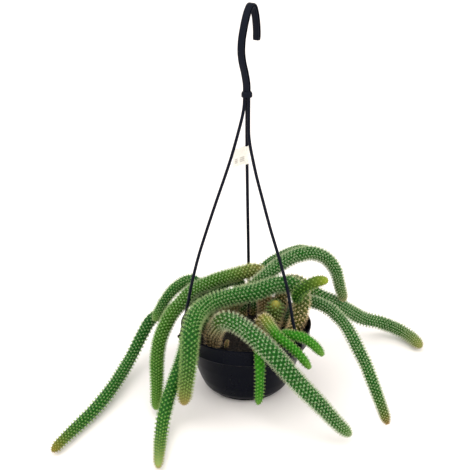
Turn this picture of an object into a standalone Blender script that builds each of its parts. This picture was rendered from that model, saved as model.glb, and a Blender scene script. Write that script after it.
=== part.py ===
"""Monkey tail cactus in a black hanging pot that stands on its base.

Metres, +Z up, Y away from the viewer. The origin is the centre of the pot's base, on the
surface that the pot stands on. Routes are written in millimetres and scaled by MM.
"""

import math
import random

import bpy
import bmesh
from mathutils import Matrix, Vector

MM = 0.001

# Pot, a turned plastic shell with a wide band at the rim
POT_OUTSIDE = [(38.5, 0.0), (39.0, 2.4), (43.4, 4.6), (46.6, 8.6), (50.8, 18.0), (57.8, 38.0),
               (63.4, 56.4), (68.4, 57.4)]
POT_INSIDE = [(36.0, 2.5), (38.6, 4.4), (44.2, 9.6), (49.1, 18.6), (56.1, 38.4), (61.6, 56.0),
              (67.6, 59.4)]
RIM_RADIUS = 70.0
POT_HEIGHT = 75.0
WALL = 1.6
POT_SEGMENTS = 36
DRAIN_HOLE_RADIUS = 4.5
DRAIN_HOLE_CIRCLE = 24.0
DRAIN_HOLES = 4

# Lugs on the rim that the hanger's strands pass through
EAR_ANGLES = {"left": 203.0, "front": 317.0, "back": 87.0}
EAR_CIRCLE = 73.5
EAR_TOP = 74.4
EAR_THICKNESS = 3.2
EAR_WIDTH = 8.0
EAR_HOLE_RADIUS = 2.2

# Soil
SOIL_LEVEL = 58.0
SOIL_TOP = [(61.0, 59.2), (54.0, 58.4), (42.0, 58.0), (29.0, 58.5), (15.0, 58.0), (0.0, 58.6)]
SEATING_GAP = 0.3
SOIL_BUMP = 0.9
SOIL_SEGMENTS = 26
SOIL_SEED = 11
STEM_ROOT = 50.0
ROOT_STRAIGHT = 9.0
ROOT_HOLE_SLACK = 0.9

# Hanger; a strand's route is its radius from the axis at each height
STRAND_RADIUS = 1.7
STRAND_CIRCLE = 2.6
STRAND_SIDES = 8
STRAND_TOP = 328.4
STRAND_ROUTES = {
    "left": [(2.6, 328.4), (2.8, 317.0), (4.6, 306.0), (8.6, 291.0), (15.8, 267.0), (23.3, 245.5),
             (32.9, 220.0), (44.3, 188.5), (54.3, 158.8), (62.1, 129.3), (66.6, 107.5), (70.0, 92.0)],
    "front": [(2.6, 328.4), (2.6, 292.0), (3.5, 281.0), (5.9, 270.0), (13.2, 245.5), (22.2, 221.0),
              (33.6, 191.0), (45.0, 164.5), (55.4, 138.0), (61.6, 115.8), (66.4, 95.0)],
    "back": [(2.6, 328.4), (2.6, 292.0), (3.5, 281.0), (5.9, 270.0), (13.2, 245.5), (22.2, 221.0),
             (33.6, 191.0), (45.0, 164.5), (55.4, 138.0), (62.4, 115.8), (68.0, 95.0)],
}
SLEEVE_RADIUS = 2.5
SLEEVE_LENGTH = 8.0
KNOB_RADIUS = 3.0
KNOB_LENGTH = 3.2
COLLAR_RADIUS = 5.6
COLLAR_BOTTOM = 324.4
COLLAR_TOP = 330.6
HOOK_TURN = 55.0
HOOK_WIDTH = 7.0
HOOK_DEPTH = 4.8
HOOK_FLANGE = 1.5
HOOK_WEB = 3.6
HOOK_ROUTE = [
    (-0.2, 329.4), (-0.6, 338.0), (-3.8, 350.0), (-7.8, 361.0), (-9.8, 372.0), (-9.0, 383.0),
    (-6.6, 392.0), (-3.4, 401.0), (0.6, 409.2), (5.6, 414.6), (10.8, 412.4), (14.4, 403.5),
    (16.4, 393.0), (17.0, 385.0), (16.6, 378.6),
]

# Paper tag folded round the back strand
TAG_HEIGHT = 22.0
TAG_LENGTH = 12.5
TAG_THICKNESS = 0.7
TAG_SLEEVE_RADIUS = 2.8
TAG_BORE_RADIUS = 2.05
TAG_MIDDLE = 262.0
TAG_DROOP = 0.42

# Stems: how the surface of tubercles and spine tufts is laid out
RELIEF = 0.27
ROW_SPACING = 1.24
SHORTEST_ROW = 2.4
NECK = 0.74
NECK_LENGTH = 38.0
TIP_TAPER = 0.24
TIP_TAPER_LENGTH = 95.0
TIP_ROUNDING = 11.0
ROUTE_STEP = 1.0

# Each stem: overall radius over its spine tufts, tufts in a ring, root on the soil, then
# the route of its middle line, read off by eye as the stem hangs
STEMS = {
    "stem_left_far": dict(radius=8.0, tufts=5, root=(-4.5, 48), taper=0.3, route=[
        (-4, 53, 74), (-4.5, 57.5, 87), (-8.5, 61.5, 94.5), (-17, 65.5, 94), (-28, 70, 85), (-40, 75, 75.5),
        (-52, 79, 66.5), (-66, 81.5, 59.5), (-88, 77, 51),
        (-106, 66, 46), (-117, 50, 33), (-129, 20, 18), (-143, -30, 12), (-157, -70, 9.5),
        (-167, -93, 8.8), (-176, -113, 8.6), (-185, -133, 8.0), (-191, -147, 6.8)]),
    "stem_left_back": dict(radius=8.2, tufts=5, root=(-39, 31), taper=0.3, route=[
        (-43, 37, 77), (-49, 46, 91), (-56, 53, 98), (-64, 56, 98), (-73, 54.5, 94),
        (-81, 50, 89), (-88, 44, 82), (-94, 38, 74), (-98, 33, 67), (-101, 29, 61)]),
    "stem_left_middle": dict(radius=9.0, tufts=5, root=(20, 42), taper=0.3, route=[
        (21, 45, 78), (20.5, 49, 99), (14, 52, 111), (5, 50, 112.5), (-6, 47, 111), (-20, 44, 108.5),
        (-35, 38, 106), (-50, 31, 102), (-61, 24, 98), (-70, 15, 91), (-80, 5, 82), (-88, -6, 70),
        (-93, -16, 58), (-95, -28, 42), (-94.5, -42, 28), (-94, -58, 17), (-94, -72, 9.5)]),
    "stem_left_front": dict(radius=8.4, tufts=5, root=(-42, 8), taper=0.45, route=[
        (-46, 1, 74), (-51, -17, 86), (-56, -35.5, 89.5), (-60.5, -48.5, 85.5), (-63, -59.5, 75),
        (-68.5, -67.5, 58),
        (-76.5, -76, 38), (-81, -84, 27), (-85, -101, 14), (-86, -122, 9.2), (-86, -148, 8.8),
        (-85.5, -176, 7.6)]),
    "stem_front_main": dict(radius=10.7, tufts=6, root=(50, 2), taper=0.34, route=[
        (55.3, 4, 72), (59.7, 8, 91), (58, 11, 106), (48, 13, 113), (31, 11, 113), (10, 2, 109.5),
        (-12, -7, 109), (-26, -15, 109), (-39, -27, 109), (-47, -38, 108), (-52.5, -50, 106),
        (-55.5, -62, 102), (-57, -75, 94), (-58, -82, 82), (-59, -86, 68), (-61, -89, 52),
        (-63, -91, 37), (-64, -92, 27)]),
    "stem_front_right": dict(radius=10.6, tufts=6, root=(-35, -23), taper=0.42, route=[
        (-35, -26, 67), (-34, -31, 78), (-30.5, -38, 88), (-26, -46.5, 98), (-20, -52, 102.5),
        (-11, -59, 102.5), (-1, -68, 100), (9, -80, 97), (24, -95, 88.5), (37, -103, 76.5),
        (51, -109, 62), (73, -117, 41), (89.5, -121.5, 23.5), (104, -122, 9)]),
    "stem_front_short": dict(radius=6.9, tufts=5, root=(12, -34), neck=0.6, neck_length=75.0, route=[
        (12.5, -42, 71), (13, -53, 80.5), (13, -66, 83.5), (13, -76.5, 78), (13.5, -83.5, 66),
        (13.5, -84, 50), (13, -83, 33), (12, -82, 21)]),
    "shoot_right_low": dict(radius=6.8, tufts=5, root=(15, -10), neck=1.35, neck_length=70.0, route=[
        (15.5, -11, 70), (17, -14, 83), (20.5, -23, 88), (25, -40, 88.5), (31, -61, 90), (39, -71, 87.5),
        (49.5, -79, 81.5), (57, -86, 75.5), (64, -93, 68.5)]),
    "shoot_right_high": dict(radius=7.3, tufts=5, root=(35, -27), neck=0.6, neck_length=70.0, route=[
        (35.5, -32, 68), (37, -40, 78), (40, -48, 84.5), (43.5, -55.5, 88), (49.5, -61, 89.5),
        (55, -63, 89.5), (61, -65, 87.5), (67, -68, 84), (73, -72, 79.5), (78, -76, 74)]),
    "stem_right_back": dict(radius=9.2, tufts=6, root=(37, 36), route=[
        (38, 37, 72), (40, 40, 91), (46, 43, 101.5), (55, 46, 101.5), (66, 49, 94), (84, 56, 79),
        (102, 70, 64), (121, 88, 44.5),
        (138, 102, 28.5), (158, 111, 19.2), (176, 110, 12.6), (189, 99, 10.2), (198, 82, 9.4),
        (203, 70, 8.0)]),
    "stem_right_front": dict(radius=7.5, tufts=5, root=(45, 21), route=[
        (50, 24, 72), (58.5, 26.5, 84), (68, 26, 87), (80, 21, 86), (90, 13, 84), (99, 0, 80.5),
        (106, -12, 77), (112, -27, 71), (118, -42, 62.5), (124, -56, 54), (129, -70, 44),
        (134, -82, 33), (139, -91, 21), (144, -98, 7.5)]),
    "stem_back_arch": dict(radius=8.9, tufts=5, root=(-22, 15), taper=0.3, route=[
        (-21, 17, 78), (-11, 19, 90.5), (3, 23, 101.3), (18, 31, 111), (32, 41, 120), (49, 51.5, 127.2),
        (60, 56, 129.5), (72, 60, 130), (84, 62, 126), (93, 62.5, 119), (100, 62, 109),
        (103.5, 62, 98), (106.5, 61, 86), (111.5, 60, 71)]),
    "stem_back_low": dict(radius=6.5, tufts=5, root=(9.5, 52.5), route=[
        (10.5, 56, 70), (12.5, 61, 86), (15.5, 67, 98), (21, 75, 106), (29, 84, 109.5), (39, 91, 112.5),
        (51, 96, 116.5), (62, 98, 119), (75, 99, 117.5)]),
    "stem_stub": dict(radius=12.0, tufts=7, root=(28, 10), taper=0.1, route=[
        (29, 9.5, 70), (31, 8, 84), (32, 5.5, 97)]),
    "stem_bud": dict(radius=3.4, tufts=4, root=(-21, -27), route=[
        (-21, -27.5, 62), (-19.5, -28.5, 67.5)]),
}

# A shoot that grows from the main stem's base, one piece with it
OFFSHOOT = dict(radius=7.9, tufts=5, neck=0.8, taper=0.12, route=[
    (57, 8, 98), (55, 0, 103), (54, -8, 109), (56.5, -12, 117), (63, -16, 124.5), (70, -18, 129.5),
    (77, -19, 132), (86, -19, 132.5)])

COLOURS = {
    "pot_plastic": ((0.018, 0.02, 0.027, 1), 0.38),
    "soil": ((0.03, 0.02, 0.013, 1), 0.95),
    "hanger_plastic": ((0.016, 0.019, 0.027, 1), 0.33),
    "paper": ((0.88, 0.87, 0.82, 1), 0.8),
    "green_stem": ((0.09, 0.24, 0.05, 1), 0.6),
    "young_stem": ((0.14, 0.36, 0.03, 1), 0.55),
    "old_stem": ((0.19, 0.2, 0.07, 1), 0.65),
}
YOUNG = {"stem_front_short", "shoot_right_low", "shoot_right_high", "stem_bud"}
OLD = {"stem_stub"}


def clear_scene():
    for obj in list(bpy.data.objects):
        bpy.data.objects.remove(obj, do_unlink=True)


def material(name):
    found = bpy.data.materials.get(name)
    if found:
        return found
    colour, roughness = COLOURS[name]
    made = bpy.data.materials.new(name)
    made.use_nodes = True
    shader = made.node_tree.nodes["Principled BSDF"]
    shader.inputs["Base Color"].default_value = colour
    shader.inputs["Roughness"].default_value = roughness
    shader.inputs["Metallic"].default_value = 0.0
    made.diffuse_color = colour
    return made


def add_object(name, mesh, finish, sharp_degrees=40.0):
    """Link a mesh, given in millimetres, as an object of its real size."""
    mesh.transform(Matrix.Scale(MM, 4))
    obj = bpy.data.objects.new(name, mesh)
    bpy.context.collection.objects.link(obj)
    mesh.materials.append(material(finish))
    mesh.shade_smooth()
    mesh.set_sharp_from_angle(angle=math.radians(sharp_degrees))
    return obj


def add_guide(name, bm):
    """Link a cutter or an added block, which is not a piece of its own."""
    mesh = bpy.data.meshes.new(name)
    bm.to_mesh(mesh)
    bm.free()
    mesh.transform(Matrix.Scale(MM, 4))
    obj = bpy.data.objects.new(name, mesh)
    bpy.context.collection.objects.link(obj)
    obj.hide_render = True
    obj.display_type = "WIRE"
    return obj


def boolean(obj, other, operation):
    modifier = obj.modifiers.new(other.name, "BOOLEAN")
    modifier.operation = operation
    modifier.solver = "EXACT"
    modifier.object = other


def turned(name, outline, segments):
    """Spin a closed outline of (radius, height) about Z; points on the axis close it."""
    bm = bmesh.new()
    corners = [bm.verts.new((radius, 0.0, height)) for radius, height in outline]
    edges = [bm.edges.new(pair) for pair in zip(corners, corners[1:])]
    bmesh.ops.spin(bm, geom=corners + edges, cent=(0, 0, 0), axis=(0, 0, 1), angle=math.tau,
                   steps=segments, use_merge=True)
    bmesh.ops.remove_doubles(bm, verts=bm.verts, dist=0.001)
    bmesh.ops.recalc_face_normals(bm, faces=bm.faces)
    mesh = bpy.data.meshes.new(name)
    bm.to_mesh(mesh)
    bm.free()
    return mesh


def arc(centre, radius, start, end, steps):
    """Points on an arc of an outline, its angles in degrees from the outward direction."""
    angles = [math.radians(start + (end - start) * i / steps) for i in range(steps + 1)]
    return [(centre[0] + radius * math.cos(a), centre[1] + radius * math.sin(a)) for a in angles]


def add_cylinder(bm, radius, centre, height, sides):
    """A vertical cylinder standing on its centre point."""
    middle = Matrix.Translation((centre[0], centre[1], centre[2] + height / 2))
    bmesh.ops.create_cone(bm, cap_ends=True, segments=sides, radius1=radius, radius2=radius,
                          depth=height, matrix=middle)


def around(angle_degrees, radius):
    angle = math.radians(angle_degrees)
    return radius * math.cos(angle), radius * math.sin(angle)


def smooth_route(points, step):
    """Points every step or so along one smooth curve through the route's own points."""
    knots = [Vector(p) for p in points]
    knots = [2 * knots[0] - knots[1]] + knots + [2 * knots[-1] - knots[-2]]
    result = []
    for a, b, c, d in zip(knots, knots[1:], knots[2:], knots[3:]):
        pieces = max(2, round((c - b).length / step))
        for i in range(pieces):
            t = i / pieces
            result.append(0.5 * (2 * b + (c - a) * t + (2 * a - 5 * b + 4 * c - d) * t * t
                                 + (3 * b - a - 3 * c + d) * t ** 3))
    result.append(knots[-2])
    return result


def sweep_frames(line):
    """For each point: distance along, the point, and two directions across that never spin."""
    across = (line[1] - line[0]).orthogonal().normalized()
    distance = 0.0
    frames = []
    for i, point in enumerate(line):
        before = line[max(i - 1, 0)]
        after = line[min(i + 1, len(line) - 1)]
        along = (after - before).normalized()
        across = (across - across.dot(along) * along).normalized()
        if i:
            distance += (point - line[i - 1]).length
        frames.append((distance, point, across, along.cross(across)))
    return frames


def frame_at(frames, distance):
    for (d0, p0, u0, v0), (d1, p1, u1, v1) in zip(frames, frames[1:]):
        if distance <= d1:
            t = (distance - d0) / (d1 - d0)
            return p0.lerp(p1, t), u0.lerp(u1, t).normalized(), v0.lerp(v1, t).normalized()
    return frames[-1][1:]


def swept(rings, tip=None):
    """Join rings of points into one closed skin: flat first end, flat or pointed last end."""
    bm = bmesh.new()
    loops = [[bm.verts.new(p) for p in ring] for ring in rings]
    count = len(loops[0])
    for k, (low, high) in enumerate(zip(loops, loops[1:])):
        for j in range(count):
            a, b = low[j], low[(j + 1) % count]
            c, d = high[(j + 1) % count], high[j]
            if (j + k) % 2:
                bm.faces.new((a, b, c))
                bm.faces.new((a, c, d))
            else:
                bm.faces.new((a, b, d))
                bm.faces.new((b, c, d))
    bm.faces.new(list(reversed(loops[0])))
    if tip is None:
        bm.faces.new(loops[-1])
    else:
        end = bm.verts.new(tip)
        for j in range(count):
            bm.faces.new((loops[-1][j], loops[-1][(j + 1) % count], end))
    bmesh.ops.recalc_face_normals(bm, faces=bm.faces)
    return bm


def stem_radius(spec, distance, total):
    """Overall radius: narrow where it grew from the soil, tapered and rounded at the tip."""
    rest = total - distance
    neck = spec.get("neck", NECK)
    growth = min(1.0, distance / spec.get("neck_length", NECK_LENGTH))
    taper = spec.get("taper", TIP_TAPER) * max(0.0, 1.0 - rest / TIP_TAPER_LENGTH) ** 1.5
    rounding = min(1.0, rest / TIP_ROUNDING)
    cap = math.sqrt(1.0 - (1.0 - rounding) ** 2)
    return spec["radius"] * (neck + (1.0 - neck) * growth) * (1.0 - taper) * cap


def stem_skin(spec, route):
    """A stem covered in tubercles: every other point of each ring rises to a spine tuft."""
    frames = sweep_frames(smooth_route(route, ROUTE_STEP))
    total = frames[-1][0]
    count = 2 * spec["tufts"]
    rings = []
    distance = 0.0
    while distance < total - 0.5 * SHORTEST_ROW:
        outer = stem_radius(spec, distance, total)
        point, across, over = frame_at(frames, distance)
        ring = []
        for j in range(count):
            is_tuft = (j + len(rings)) % 2 == 0
            radius = outer if is_tuft else outer * (1.0 - RELIEF)
            angle = math.tau * j / count
            ring.append(point + radius * (math.cos(angle) * across + math.sin(angle) * over))
        rings.append(ring)
        distance += max(SHORTEST_ROW, ROW_SPACING * math.pi * outer / spec["tufts"])
    return swept(rings, tip=frames[-1][1])


def rooted(spec):
    """The whole route of a stem, from its straight root in the soil."""
    x, y = spec["root"]
    return [(x, y, STEM_ROOT), (x, y, STEM_ROOT + ROOT_STRAIGHT)] + spec["route"]


def pot_outline():
    lip = WALL / 2
    rim = arc((RIM_RADIUS - lip, POT_HEIGHT - lip), lip, 0, 180, 4)
    floor = POT_INSIDE[0][1]
    return [(0, 0)] + POT_OUTSIDE + rim + POT_INSIDE[::-1] + [(0, floor)]


def inside_radius(height):
    """The pot's inner radius at a height, for the soil that fills it."""
    for (r0, z0), (r1, z1) in zip(POT_INSIDE, POT_INSIDE[1:]):
        if z0 <= height <= z1:
            return r0 + (r1 - r0) * (height - z0) / (z1 - z0)
    return RIM_RADIUS - WALL


def build_pot():
    mesh = turned("pot", pot_outline(), POT_SEGMENTS)
    pot = add_object("pot", mesh, "pot_plastic")
    ears = bmesh.new()
    cutters = bmesh.new()
    inner_end = RIM_RADIUS - 0.9 * WALL
    outer_end = EAR_CIRCLE + 2.2 * EAR_HOLE_RADIUS
    for angle in EAR_ANGLES.values():
        block = bmesh.ops.create_cube(ears, size=1.0)["verts"]
        size = Matrix.Diagonal((outer_end - inner_end, EAR_WIDTH, EAR_THICKNESS, 1.0))
        place = Matrix.Translation(((outer_end + inner_end) / 2, 0, EAR_TOP - EAR_THICKNESS / 2))
        turn = Matrix.Rotation(math.radians(angle), 4, "Z")
        bmesh.ops.transform(ears, matrix=turn @ place @ size, verts=block)
        x, y = around(angle, EAR_CIRCLE)
        add_cylinder(cutters, EAR_HOLE_RADIUS, (x, y, EAR_TOP - 2 * EAR_THICKNESS), 4 * EAR_THICKNESS, 12)
    upright = [e for e in ears.edges if abs(e.verts[0].co.z - e.verts[1].co.z) > EAR_THICKNESS / 2
               and min(v.co.xy.length for v in e.verts) > EAR_CIRCLE]
    bmesh.ops.bevel(ears, geom=upright, offset=0.35 * EAR_WIDTH, segments=3, affect="EDGES",
                    clamp_overlap=True)
    for i in range(DRAIN_HOLES):
        x, y = around(45 + 360 / DRAIN_HOLES * i, DRAIN_HOLE_CIRCLE)
        add_cylinder(cutters, DRAIN_HOLE_RADIUS, (x, y, -DRAIN_HOLE_RADIUS),
                     4 * DRAIN_HOLE_RADIUS, 12)
    boolean(pot, add_guide("pot_ears", ears), "UNION")
    boolean(pot, add_guide("pot_holes", cutters), "DIFFERENCE")


def build_soil():
    gap = SEATING_GAP
    bottom = POT_INSIDE[0][1] + gap
    side = [(inside_radius(z) - gap, z + 0.4 * gap) for r, z in POT_INSIDE[1:-1]]
    outline = [(0, bottom), (POT_INSIDE[0][0] - gap, bottom)] + side + SOIL_TOP
    mesh = turned("soil", outline, SOIL_SEGMENTS)
    draw = random.Random(SOIL_SEED)
    for vertex in mesh.vertices:
        on_top = vertex.co.z > SOIL_LEVEL - 0.5 and vertex.co.xy.length < 55.0
        if on_top:
            vertex.co.z += draw.uniform(-SOIL_BUMP, SOIL_BUMP)
    soil = add_object("soil", mesh, "soil", sharp_degrees=60.0)
    holes = bmesh.new()
    for spec in STEMS.values():
        growth = (SOIL_LEVEL - STEM_ROOT) / spec.get("neck_length", NECK_LENGTH)
        neck = spec.get("neck", NECK)
        radius = spec["radius"] * (neck + (1.0 - neck) * growth) + ROOT_HOLE_SLACK
        x, y = spec["root"]
        add_cylinder(holes, radius, (x, y, STEM_ROOT - gap), 20.0, 10)
    boolean(soil, add_guide("stem_holes", holes), "DIFFERENCE")


def strand_profile(side):
    """Heights and radii down a strand: plain rod, sleeve, neck in the lug's hole, stop knob."""
    sleeve = EAR_TOP + SEATING_GAP
    knob = EAR_TOP - EAR_THICKNESS - SEATING_GAP
    rod = [height for _, height in STRAND_ROUTES[side]] + [sleeve + SLEEVE_LENGTH + 1.0]
    ends = [(sleeve + SLEEVE_LENGTH, SLEEVE_RADIUS), (sleeve, SLEEVE_RADIUS),
            (sleeve, STRAND_RADIUS), (knob, STRAND_RADIUS), (knob, KNOB_RADIUS),
            (knob - KNOB_LENGTH + 0.8, KNOB_RADIUS), (knob - KNOB_LENGTH, 0.6 * KNOB_RADIUS)]
    return [(height, STRAND_RADIUS) for height in rod] + ends


def strand_middle(side, height):
    """Where a strand is at a height: its radius from the axis, read along its route."""
    lug = [(EAR_CIRCLE, EAR_TOP + SEATING_GAP), (EAR_CIRCLE, 0.0)]
    route = STRAND_ROUTES[side] + lug
    for (r0, z0), (r1, z1) in zip(route, route[1:]):
        if z1 <= height <= z0:
            radius = r0 + (r1 - r0) * (z0 - height) / (z0 - z1)
            return Vector((*around(EAR_ANGLES[side], radius), height))


def build_strand(side):
    rings = []
    for height, radius in strand_profile(side):
        middle = strand_middle(side, height)
        corners = [around(-360 / STRAND_SIDES * j, radius) for j in range(STRAND_SIDES)]
        rings.append([middle + Vector((a, b, 0)) for a, b in corners])
    bm = swept(rings)
    mesh = bpy.data.meshes.new("strand_" + side)
    bm.to_mesh(mesh)
    bm.free()
    add_object("strand_" + side, mesh, "hanger_plastic")


def hook_section():
    """The hook's moulded section: two flanges on a narrower web, as (across, outward)."""
    half = HOOK_WIDTH / 2
    depth = HOOK_DEPTH / 2
    inner = depth - HOOK_FLANGE
    quarter = [(HOOK_WEB / 2, inner), (half, inner), (half, depth - 0.7), (half - 0.7, depth)]
    upper = quarter + [(-a, b) for a, b in reversed(quarter)]
    return upper + [(-a, -b) for a, b in upper]


def build_hook():
    line = smooth_route([(s, 0.0, z) for s, z in HOOK_ROUTE], 7.0)
    sideways = Vector((0, 1, 0))
    section = hook_section()
    rings = []
    for i, point in enumerate(line):
        along = (line[min(i + 1, len(line) - 1)] - line[max(i - 1, 0)]).normalized()
        outward = sideways.cross(along)
        rings.append([point + a * sideways + b * outward for a, b in section])
    bm = swept(rings)
    bmesh.ops.transform(bm, matrix=Matrix.Rotation(math.radians(HOOK_TURN), 4, "Z"), verts=bm.verts)
    shank = add_guide("hook_shank", bm)
    outline = [(0, COLLAR_BOTTOM), (COLLAR_RADIUS - 0.8, COLLAR_BOTTOM), (COLLAR_RADIUS, COLLAR_BOTTOM + 0.8)]
    outline += [(COLLAR_RADIUS, COLLAR_TOP - 2.2), (4.2, COLLAR_TOP), (0, COLLAR_TOP)]
    hook = add_object("hanger_hook", turned("hanger_hook", outline, 20), "hanger_plastic")
    sockets = bmesh.new()
    for angle in EAR_ANGLES.values():
        x, y = around(angle, STRAND_CIRCLE)
        depth = STRAND_TOP + SEATING_GAP - COLLAR_BOTTOM
        add_cylinder(sockets, STRAND_RADIUS + 0.25, (x, y, COLLAR_BOTTOM - 3.0), depth + 3.0, 10)
    boolean(hook, shank, "UNION")
    boolean(hook, add_guide("strand_sockets", sockets), "DIFFERENCE")


def build_tag():
    """A label folded round the back strand, its flag drooping to the left."""
    ends = [strand_middle("back", TAG_MIDDLE + step) for step in (-TAG_HEIGHT / 2, TAG_HEIGHT / 2)]
    middle = ends[0].lerp(ends[1], 0.5)
    lean = (ends[1] - ends[0]).normalized()
    flag = bmesh.new()
    bmesh.ops.create_cube(flag, size=1.0)
    size = Matrix.Diagonal((TAG_LENGTH, TAG_THICKNESS, TAG_HEIGHT, 1.0))
    reach = TAG_LENGTH / 2 + 0.5 * (TAG_SLEEVE_RADIUS + TAG_BORE_RADIUS)
    bmesh.ops.transform(flag, matrix=Matrix.Translation((-reach, 0, 0)) @ size, verts=flag.verts)
    sleeve = bmesh.new()
    add_cylinder(sleeve, TAG_SLEEVE_RADIUS, (0, 0, -TAG_HEIGHT / 2), TAG_HEIGHT, 16)
    bore = bmesh.new()
    add_cylinder(bore, TAG_BORE_RADIUS, (0, 0, -TAG_HEIGHT), 2 * TAG_HEIGHT, 12)
    droop = Matrix.Identity(4)
    droop[2][0] = TAG_DROOP
    place = Matrix.Translation(middle) @ Vector((0, 0, 1)).rotation_difference(lean).to_matrix().to_4x4()
    for bm in (flag, sleeve, bore):
        bmesh.ops.transform(bm, matrix=place @ droop, verts=bm.verts)
    mesh = bpy.data.meshes.new("tag")
    sleeve.to_mesh(mesh)
    sleeve.free()
    tag = add_object("tag", mesh, "paper")
    boolean(tag, add_guide("tag_flag", flag), "UNION")
    boolean(tag, add_guide("tag_bore", bore), "DIFFERENCE")


def build_stems():
    for name, spec in STEMS.items():
        bm = stem_skin(spec, rooted(spec))
        mesh = bpy.data.meshes.new(name)
        bm.to_mesh(mesh)
        bm.free()
        finish = "young_stem" if name in YOUNG else "old_stem" if name in OLD else "green_stem"
        add_object(name, mesh, finish, sharp_degrees=20.0)
    offshoot = add_guide("offshoot", stem_skin(OFFSHOOT, OFFSHOOT["route"]))
    boolean(bpy.data.objects["stem_front_main"], offshoot, "UNION")


def main():
    clear_scene()
    build_pot()
    build_soil()
    build_hook()
    for side in EAR_ANGLES:
        build_strand(side)
    build_tag()
    build_stems()


main()
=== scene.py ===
"""Looks of the monkey tail cactus in its black hanging pot.

Routes and sizes are in millimetres, as in the part's own source, and are scaled by MM.
Outlines of round parts are pairs of radius and height. Colours are linear red, green and blue.
"""

import math

import bmesh
import bpy
import numpy as np
from mathutils import Matrix, Vector


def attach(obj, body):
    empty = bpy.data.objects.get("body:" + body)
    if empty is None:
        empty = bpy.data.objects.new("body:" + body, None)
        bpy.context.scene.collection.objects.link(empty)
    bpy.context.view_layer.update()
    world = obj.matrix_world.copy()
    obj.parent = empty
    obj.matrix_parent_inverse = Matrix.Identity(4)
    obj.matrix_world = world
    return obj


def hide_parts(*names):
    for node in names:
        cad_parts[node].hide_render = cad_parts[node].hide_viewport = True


MM = 0.001

# Camera, at the photograph's angle
CAMERA_PLACE = (-11.8, -1118.7, 634.7)
CAMERA_TILT = 67.7
CAMERA_LENS = 88.7
CAMERA_SENSOR = 36.0
CAMERA_NEAREST = 0.05

# Studio, in metres and watts
FLOOR_REACH = 4.0
SKY_COLOUR = (1.0, 0.985, 0.97)
SKY_STRENGTH = 1.27
LIT_PLACE = (0, 0, 0.08)
KEY_LIGHT = dict(place=(-0.8, -0.8, 1.9), size=2.2, power=20.0, colour=(1, 1, 1))
FILL_LIGHT = dict(place=(1.3, -0.8, 1.1), size=1.6, power=8.0, colour=(1.0, 0.95, 0.93))

# Pot
POT_OUTSIDE = [(38.5, 0.0), (39.0, 2.4), (43.4, 4.6), (46.6, 8.6), (50.8, 18.0), (57.8, 38.0),
               (63.4, 56.4), (68.4, 57.4)]
POT_INSIDE = [(36.0, 2.5), (38.6, 4.4), (44.2, 9.6), (49.1, 18.6), (56.1, 38.4), (61.6, 56.0),
              (67.6, 59.4)]
OUTSIDE_ROUNDING = 1.2
INSIDE_ROUNDING = 1.5
RIM_RADIUS = 70.0
RIM_FOOT_OUTSIDE = (69.6, 73.2)
RIM_FOOT_INSIDE = (67.9, 72.0)
RIM_BEAD = 0.15
RIM_TURN = (-20, 180)
POT_HEIGHT = 75.0
WALL = 1.6
POT_SEGMENTS = 160
HOLE_SEGMENTS = 32
DRAIN_HOLE_RADIUS = 4.5
DRAIN_HOLE_CIRCLE = 24.0
DRAIN_HOLES = 4
DRAIN_START = 45
DRAIN_CUT = (-5.0, 8.0)
EAR_ANGLES = {"left": 203.0, "front": 317.0, "back": 87.0}
EAR_CIRCLE = 73.5
EAR_TOP = 74.4
EAR_THICKNESS = 3.2
EAR_WIDTH = 8.0
EAR_HOLE_RADIUS = 2.2
EAR_CORNER = 0.35 * EAR_WIDTH
EAR_SHARP = 1.0
EAR_EASING = 0.4
EAR_FROM = RIM_RADIUS - 0.9 * WALL
EAR_TO = EAR_CIRCLE + 2.2 * EAR_HOLE_RADIUS

# Potting mix
SOIL_LEVEL = 58.0
SOIL_RINGS = 90
SOIL_SEGMENTS = 180
SOIL_SEED = 5
SOIL_WAVES = ((19.0, 0.8), (9.0, 0.7), (4.2, 0.55), (2.3, 0.4))
WAVES_OF_A_SIZE = 5
SOIL_GRAIN = 0.3
SOIL_EDGE_GAP = 0.5
SOIL_WALL_GAP = 0.4
SOIL_SIDE_HEIGHTS = (50.0, 30.0, 12.0, 4.4)
SOIL_SIDE_LIFT = 0.1
SOIL_BOTTOM = 2.8
CRUMBS = 700
CRUMB_EDGE_GAP = 3.0
CRUMB_SIZES = (0.7, 2.3)
CRUMB_STRETCH = (0.7, 1.9)
CRUMB_FLATNESS = (0.4, 0.8)
CRUMB_LUMPS = (0.75, 1.2)
CRUMB_LIFT = (0.2, 1.2)
CRUMB_TILT = 0.4

# Hanger
STRAND_RADIUS = 1.7
STRAND_CIRCLE = 2.6
STRAND_SIDES = 16
STRAND_RINGS = 60
STRAND_STEP = 3.0
STRAND_TOP = 328.4
STRAND_ROUTES = {
    "left": [(2.6, 328.4), (2.8, 317.0), (4.6, 306.0), (8.6, 291.0), (15.8, 267.0), (23.3, 245.5),
             (32.9, 220.0), (44.3, 188.5), (54.3, 158.8), (62.1, 129.3), (66.6, 107.5), (70.0, 92.0)],
    "front": [(2.6, 328.4), (2.6, 292.0), (3.5, 281.0), (5.9, 270.0), (13.2, 245.5), (22.2, 221.0),
              (33.6, 191.0), (45.0, 164.5), (55.4, 138.0), (61.6, 115.8), (66.4, 95.0)],
    "back": [(2.6, 328.4), (2.6, 292.0), (3.5, 281.0), (5.9, 270.0), (13.2, 245.5), (22.2, 221.0),
             (33.6, 191.0), (45.0, 164.5), (55.4, 138.0), (62.4, 115.8), (68.0, 95.0)],
}
STRAND_FOOT = 60.0
SLEEVE_RADIUS = 2.5
SLEEVE_LENGTH = 8.0
KNOB_RADIUS = 3.0
KNOB_LENGTH = 3.2
SEATING_GAP = 0.3
COLLAR_RADIUS = 5.6
COLLAR_NECK_RADIUS = 4.2
COLLAR_BOTTOM = 324.4
COLLAR_TOP = 330.6
COLLAR_SLOPE = 2.2
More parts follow.
